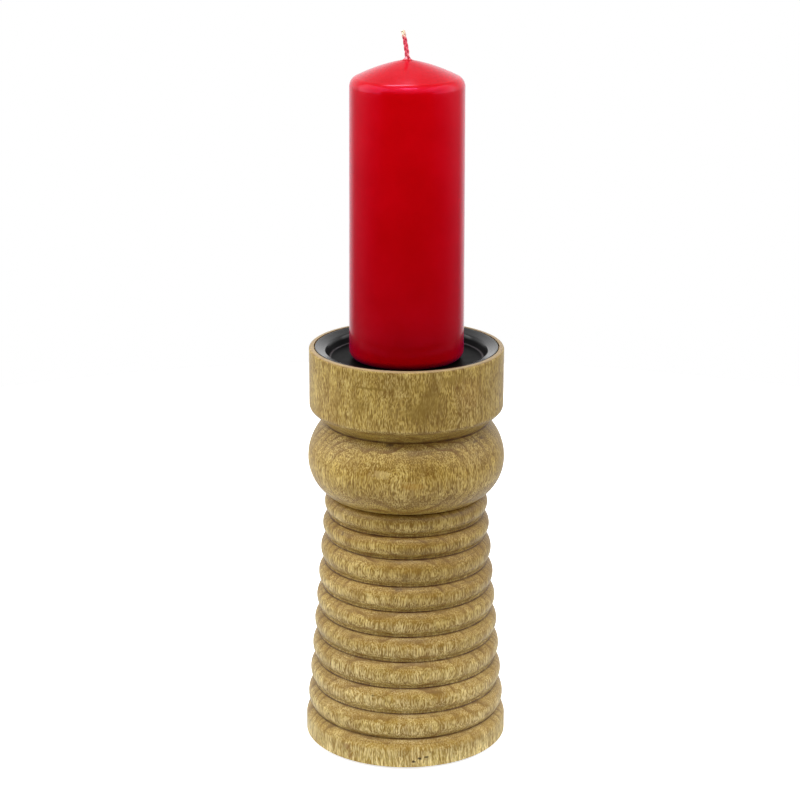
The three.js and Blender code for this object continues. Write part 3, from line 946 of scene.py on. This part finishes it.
def thread_radius(height):
    """The shank's radius round the screw at a height, with the thread's ridge winding up it."""
    above_tip = height - screw_low.z
    point_share = min(1.0, above_tip / screw_point_length)
    run_out = min(1.0, max(0.0, (thread_length - above_tip) / thread_pitch))
    core = (screw_shank_radius - thread_height) * point_share
    plain = screw_shank_radius * (1 - run_out)
    ridge_height = thread_height * min(1.0, point_share * thread_growth)

    def radius_of(angle):
        phase = (above_tip / thread_pitch - angle / (2 * math.pi)) % 1.0
        ridge = max(0.0, 1 - abs(2 * phase - 1) / thread_width_share) * ridge_height
        return max(plain + core * run_out, core) + ridge * run_out
    return radius_of


def recess_height(x, y):
    """The height of the screw's top at a point: a cross sunk into the flat head."""
    along, across = max(abs(x), abs(y)), min(abs(x), abs(y))
    width_share = min(1.0, max(0.0, (recess_half_width + recess_flare - across) / recess_flare))
    length_share = min(1.0, max(0.0, (recess_half_length - along) / (4 * recess_flare)))
    return screw_high.z - recess_depth * min(width_share, length_share)


screw_rings = []
shank_top_z = screw_high.z - screw_head_height
shank_rows = round((shank_top_z - screw_low.z) / shank_step)
for row in range(1, shank_rows + 1):
    row_z = screw_low.z + (shank_top_z - screw_low.z) * row / shank_rows
    screw_rings.append(screw_ring(thread_radius(row_z), lambda x, y, z=row_z: z))
head_edge_z = screw_high.z - head_edge_drop
for inset in (head_edge_break, 0):
    radius, row_z = screw_high.x - inset, head_edge_z - inset
    screw_rings.append(screw_ring(lambda angle, r=radius: r, lambda x, y, z=row_z: z))
head_radii = [head_ring_gap * step for step in range(head_ring_count, 0, -1)]
for radius in [screw_high.x - head_flat_inset] + head_radii:
    screw_rings.append(screw_ring(lambda angle, r=radius: r, recess_height))
screw_points = [(0, 0, screw_low.z)] + [point for ring in screw_rings for point in ring]
screw_points.append((0, 0, recess_height(0, 0)))
screw_faces = []
last_ring = 1 + (len(screw_rings) - 1) * screw_facets
for facet in range(screw_facets):
    beside = (facet + 1) % screw_facets
    screw_faces.append((0, 1 + beside, 1 + facet))
    for ring in range(len(screw_rings) - 1):
        low = 1 + ring * screw_facets
        high = low + screw_facets
        screw_faces.append((low + facet, low + beside, high + beside, high + facet))
    screw_faces.append((last_ring + facet, last_ring + beside, len(screw_points) - 1))


def zinc_finish():
    zinc = Finish("zinc_plate", Metallic=1.0)
    spangle = zinc.noise(zinc.place, scale=1300.0, detail=3.0, roughness=0.6)
    zinc.ground(spangle, over=(0.3, 0.7), low=paint(176, 178, 182), high=paint(206, 207, 204))
    return zinc.finished(
        spangle, relief_height=0.00001,
        Roughness=zinc.ranged(spangle, over=(0.3, 0.7), to=(0.24, 0.42)))


screw_mesh = bpy.data.meshes.new("wood_screw")
screw_mesh.from_pydata(screw_points, [], screw_faces)
screw_mesh.shade_smooth()
screw_mesh.set_sharp_from_angle(angle=math.radians(35))
screw_mesh.materials.append(zinc_finish())
wood_screw = placed("wood_screw", screw_mesh)
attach(wood_screw, "holder")
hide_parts("dish_screw")


# The candle's wax
# A pillar of dyed red paraffin wax, cast upside down in a smooth mould: a shallow coned top, a
# rounded shoulder, and a lump of wax drawn up round the wick.

wax_low, wax_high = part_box("candle_wax")
wax_top_radius = 0.0290
wax_shoulder_z = wax_low.z + 0.1437
wax_bottom_rounding = 0.0045
shoulder_rounding = 0.0054
dome_swell = 0.0007
collar_radius = 0.0036
collar_height = 0.0010
collar_drop = 0.0007
collar_swell = 0.0004
wick_low, wick_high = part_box("candle_wick")
wick_radius = 0.0013
wick_channel_radius = wick_radius + 0.0003
tab_low, tab_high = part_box("wick_tab")
tab_radius = tab_high.x
tab_sheet = 0.0004
tab_gap = 0.0003
tab_neck_radius = wick_channel_radius + tab_sheet
tab_roof_z = tab_low.z + tab_sheet + tab_gap
neck_roof_z = tab_high.z + tab_gap

wax_bottom_corner = (wax_high.x, wax_low.z)
wax_shoulder = (wax_top_radius, wax_shoulder_z)
wax_mouth = (wick_channel_radius, wax_high.z)
collar_foot = (collar_radius, wax_high.z - collar_drop)
collar_top = (wick_radius, wax_high.z + collar_height)
shoulder_round = rounded_corner(
    wax_bottom_corner, wax_shoulder, wax_mouth, shoulder_rounding, steps=16)
wax_outline = [
    (tab_radius + tab_gap, tab_roof_z),
    (tab_radius + tab_gap, wax_low.z),
    *rounded_corner(
        (tab_radius, wax_low.z), wax_bottom_corner, wax_shoulder, wax_bottom_rounding, steps=12),
    *shoulder_round,
    *bulged_arc(shoulder_round[-1], collar_foot, dome_swell, steps=24)[1:],
    *bulged_arc(collar_top, collar_foot, collar_swell, steps=8)[::-1][1:],
    wax_mouth,
    (wick_channel_radius, neck_roof_z),
    (tab_neck_radius + tab_gap, neck_roof_z),
    (tab_neck_radius + tab_gap, tab_roof_z),
    (tab_radius + tab_gap, tab_roof_z),
]


def wax_finish():
    """Dyed wax, with painted shade that darkens it towards the foot and a little over its top. On its
    top is a bloom of fine crystals, where the melt cooled in the open, with pale smears round the
    wick."""
    wax = Finish(
        "red_wax", Subsurface_Weight=0.35, Subsurface_Radius=(0.004, 0.0004, 0.0003),
        Subsurface_Scale=1.0, Specular_IOR_Level=0.5, Specular_Tint=(1.0, 0.12, 0.46, 1),
        Sheen_Weight=0.15, Sheen_Roughness=0.45, Sheen_Tint=(0.5, 0.01, 0.36, 1))
    height = wax.axis("Z")
    cloud = wax.noise(wax.place, scale=60.0, detail=3.0, roughness=0.6)
    wax.ground(cloud, over=(0.3, 0.7), low=paint(186, 0, 0), high=paint(195, 0, 3))
    # Painted shade: the wax darkens towards the foot
    rise = wax.ranged(height, over=(wax_low.z, wax_shoulder_z))
    wax.shade(wax.minus(1.0, wax.maths("POWER", rise, 1.5)), 0.69, 0.69, 0.69)
    # Painted shade: the top is darkened a little
    on_top = wax.ranged(height, over=(wax_shoulder_z - 0.001, wax_shoulder_z + 0.002))
    wax.shade(on_top, 0.88, 0.88, 0.88)
    crystals = wax.noise(wax.place, scale=520.0, detail=3.0, roughness=0.65)
    bloom = wax.ranged(crystals, over=(0.30, 0.75), to=(0.0, 0.03))
    wax.coat(wax.times(bloom, on_top), paint(238, 120, 128))
    at_wick = wax.ranged(height, over=(wax_high.z - 0.0003, wax_high.z + 0.0007))
    smears = wax.noise(wax.place, scale=700.0, detail=3.0, roughness=0.6, stretch=(1, 1, 0.5))
    wax.coat(wax.times(at_wick, wax.ranged(smears, over=(0.40, 0.56))), paint(248, 170, 178))
    pitted = wax.noise(wax.place, scale=330.0, detail=3.0, roughness=0.6)
    return wax.finished(
        pitted, relief_height=0.00001,
        Roughness=wax.ranged(cloud, over=(0.3, 0.7), to=(0.17, 0.21)))


wax_pillar = turned_piece(
    "wax_pillar", divided(wax_outline, longest=0.0025), wax_finish(), facets=180,
    uneven=0.00005, uneven_scale=24.0)
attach(wax_pillar, "candle")
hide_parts("candle_wax")


# The wick tab
# A disc stamped from thin tinned sheet, with a drawn neck that is crimped on the wick. It is pushed
# into a recess in the candle's bottom.

tab_edge_break = 0.0001
tab_ridge_outer = 0.0078
tab_ridge_inner = 0.0066
tab_ridge_height = 0.00018
tab_neck_bevel = 0.0003
crimp_count = 4
crimp_depth = 0.0003
crimp_start = 0.0008
crimp_run = 0.0012
tab_top = tab_low.z + tab_sheet
tab_outline = [
    (wick_channel_radius, tab_low.z),
    (tab_radius - tab_edge_break, tab_low.z),
    (tab_radius, tab_low.z + tab_sheet / 4),
    (tab_radius, tab_top),
    (tab_ridge_outer, tab_top),
    *bulged_arc((tab_ridge_outer, tab_top), (tab_ridge_inner, tab_top), tab_ridge_height, steps=6)[1:],
    (tab_neck_radius + tab_neck_bevel, tab_top),
    (tab_neck_radius, tab_top + tab_neck_bevel),
    (tab_neck_radius, tab_high.z),
    (wick_channel_radius, tab_high.z),
    (wick_channel_radius, tab_low.z),
]


def tin_finish():
    tin = Finish("tinned_sheet", Metallic=1.0)
    rolled = tin.noise(tin.place, scale=900.0, roughness=0.6, stretch=(0.06, 1, 1))
    tin.ground(rolled, over=(0.3, 0.7), low=paint(188, 188, 184), high=paint(218, 218, 214))
    wax_smears = tin.noise(tin.place, scale=160.0, detail=3.0, roughness=0.6)
    tin.coat(tin.ranged(wax_smears, over=(0.52, 0.68), to=(0.0, 0.6)), paint(176, 60, 66))
    return tin.finished(
        rolled, relief_height=0.00001,
        Roughness=tin.ranged(rolled, over=(0.3, 0.7), to=(0.26, 0.38)))


tin_tab = turned_piece("tin_tab", divided(tab_outline, longest=0.0006), tin_finish(), facets=96)
for vertex in tin_tab.data.vertices:
    up_neck = min(1.0, max(0.0, (vertex.co.z - tab_top - crimp_start) / crimp_run))
    angle = math.atan2(vertex.co.y, vertex.co.x)
    pinch = max(0.0, math.cos(crimp_count * angle))
    shrink = 1 - up_neck * crimp_depth / tab_neck_radius * pinch
    vertex.co.x *= shrink
    vertex.co.y *= shrink
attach(tin_tab, "candle")
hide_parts("wick_tab")


# The wick
# Three cotton strands braided and dipped in wax. The dye has crept up it from the candle, but not to
# the cut end, which is frayed and nearly white. It leans to the left.

wick_lean = 0.0022
wick_lean_power = 1.4
strand_radius = 0.00070
braid_half_width = wick_radius - strand_radius
braid_half_depth = 0.00036
braid_turn = 0.0088
wick_taper = 0.84
wick_end_drop = 0.0006
wick_steps = 620


def braid_tree():
    """Strands that cross over one another along Z, lean above a height and thin to the tip."""
    nodes, given = geometry_tree("braid", {
        "Start": "Geometry", "Strands": "Int", "Steps": "Int", "Bottom": "Float", "Top": "Float",
        "Bend height": "Float", "Lean": "Float", "Lean power": "Float", "Turn": "Float",
        "Half width": "Float", "Half depth": "Float", "Strand radius": "Float",
        "Tip share": "Float", "Finish": "Material",
    })
    stepped = nodes.add("GeometryNodeResampleCurve", {
        "Curve": nodes.add("GeometryNodeCurvePrimitiveLine").outputs[0], "Count": given["Steps"]})
    copies = nodes.add("GeometryNodeDuplicateElements", {
        "Geometry": stepped.outputs[0], "Amount": given["Strands"]}, domain="SPLINE")
    along = nodes.add("GeometryNodeSplineParameter").outputs["Factor"]
    height = nodes.ranged(along, over=(0.0, 1.0), to=(given["Bottom"], given["Top"]))
    free = nodes.ranged(height, over=(given["Bend height"], given["Top"]))

    # Each strand swings from side to side, and twice as often to the front and back
    turns = nodes.maths("DIVIDE", height, given["Turn"])
    phase = nodes.maths("DIVIDE", copies.outputs["Duplicate Index"], given["Strands"])
    angle = nodes.times(nodes.plus(turns, phase), 2 * math.pi)
    thin = nodes.ranged(free, over=(0.0, 1.0), to=(1.0, given["Tip share"]))
    spread = nodes.times(thin, nodes.ranged(free, over=(0.9, 1.0), to=(1.0, 1.25)))
    sideways = nodes.times(nodes.maths("SINE", angle), nodes.times(given["Half width"], spread))
    forward = nodes.times(
        nodes.maths("SINE", nodes.times(angle, 2.0)), nodes.times(given["Half depth"], spread))
    lean = nodes.times(nodes.maths("POWER", free, given["Lean power"]), given["Lean"])
    place = nodes.add("ShaderNodeCombineXYZ", {
        "X": nodes.minus(sideways, lean), "Y": forward, "Z": height})
    laid = shaped(nodes, copies.outputs[0], "GeometryNodeSetPosition", {"Position": place.outputs[0]})
    section = nodes.add("GeometryNodeCurvePrimitiveCircle", {
        "Resolution": 10, "Radius": given["Strand radius"]})
    shape = nodes.add("GeometryNodeCurveToMesh", {
        "Curve": laid, "Profile Curve": section.outputs[0], "Scale": thin, "Fill Caps": True})
    return end_tree(nodes, shape.outputs[0], given["Finish"])


def wick_finish():
    wick = Finish(
        "dyed_cotton", Roughness=0.55, Specular_IOR_Level=0.4, Subsurface_Weight=0.2,
        Subsurface_Radius=(0.001, 0.0004, 0.0003), Subsurface_Scale=1.0)
    height = wick.axis("Z")
    threads = wick.noise(wick.place, scale=2400.0, roughness=0.6, stretch=(1, 1, 0.15))
    wick.ground(threads, over=(0.3, 0.7), low=paint(196, 34, 64), high=paint(236, 100, 122))
    clots = wick.noise(wick.place, scale=600.0, detail=3.0, roughness=0.6)
    at_foot = wick.ranged(height, over=(wax_high.z + 0.0040, wax_high.z + 0.0014))
    wick.coat(wick.times(wick.ranged(clots, over=(0.40, 0.55)), at_foot), paint(250, 168, 180))
    undyed = wick.ranged(height, over=(wick_high.z - 0.0046, wick_high.z - 0.0020))
    wick.coat(undyed, paint(244, 232, 206))
    return wick.finished(threads, relief_height=0.00008)


braided_wick = grown_piece("braided_wick", bpy.data.meshes.new("wick_start"), braid_tree(), {
    "Strands": 3, "Steps": wick_steps, "Bottom": wick_low.z, "Top": wick_high.z - wick_end_drop,
    "Bend height": wax_high.z, "Lean": wick_lean, "Lean power": wick_lean_power,
    "Turn": braid_turn, "Half width": braid_half_width, "Half depth": braid_half_depth,
    "Strand radius": strand_radius, "Tip share": wick_taper, "Finish": wick_finish(),
})
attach(braided_wick, "candle")
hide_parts("candle_wick")
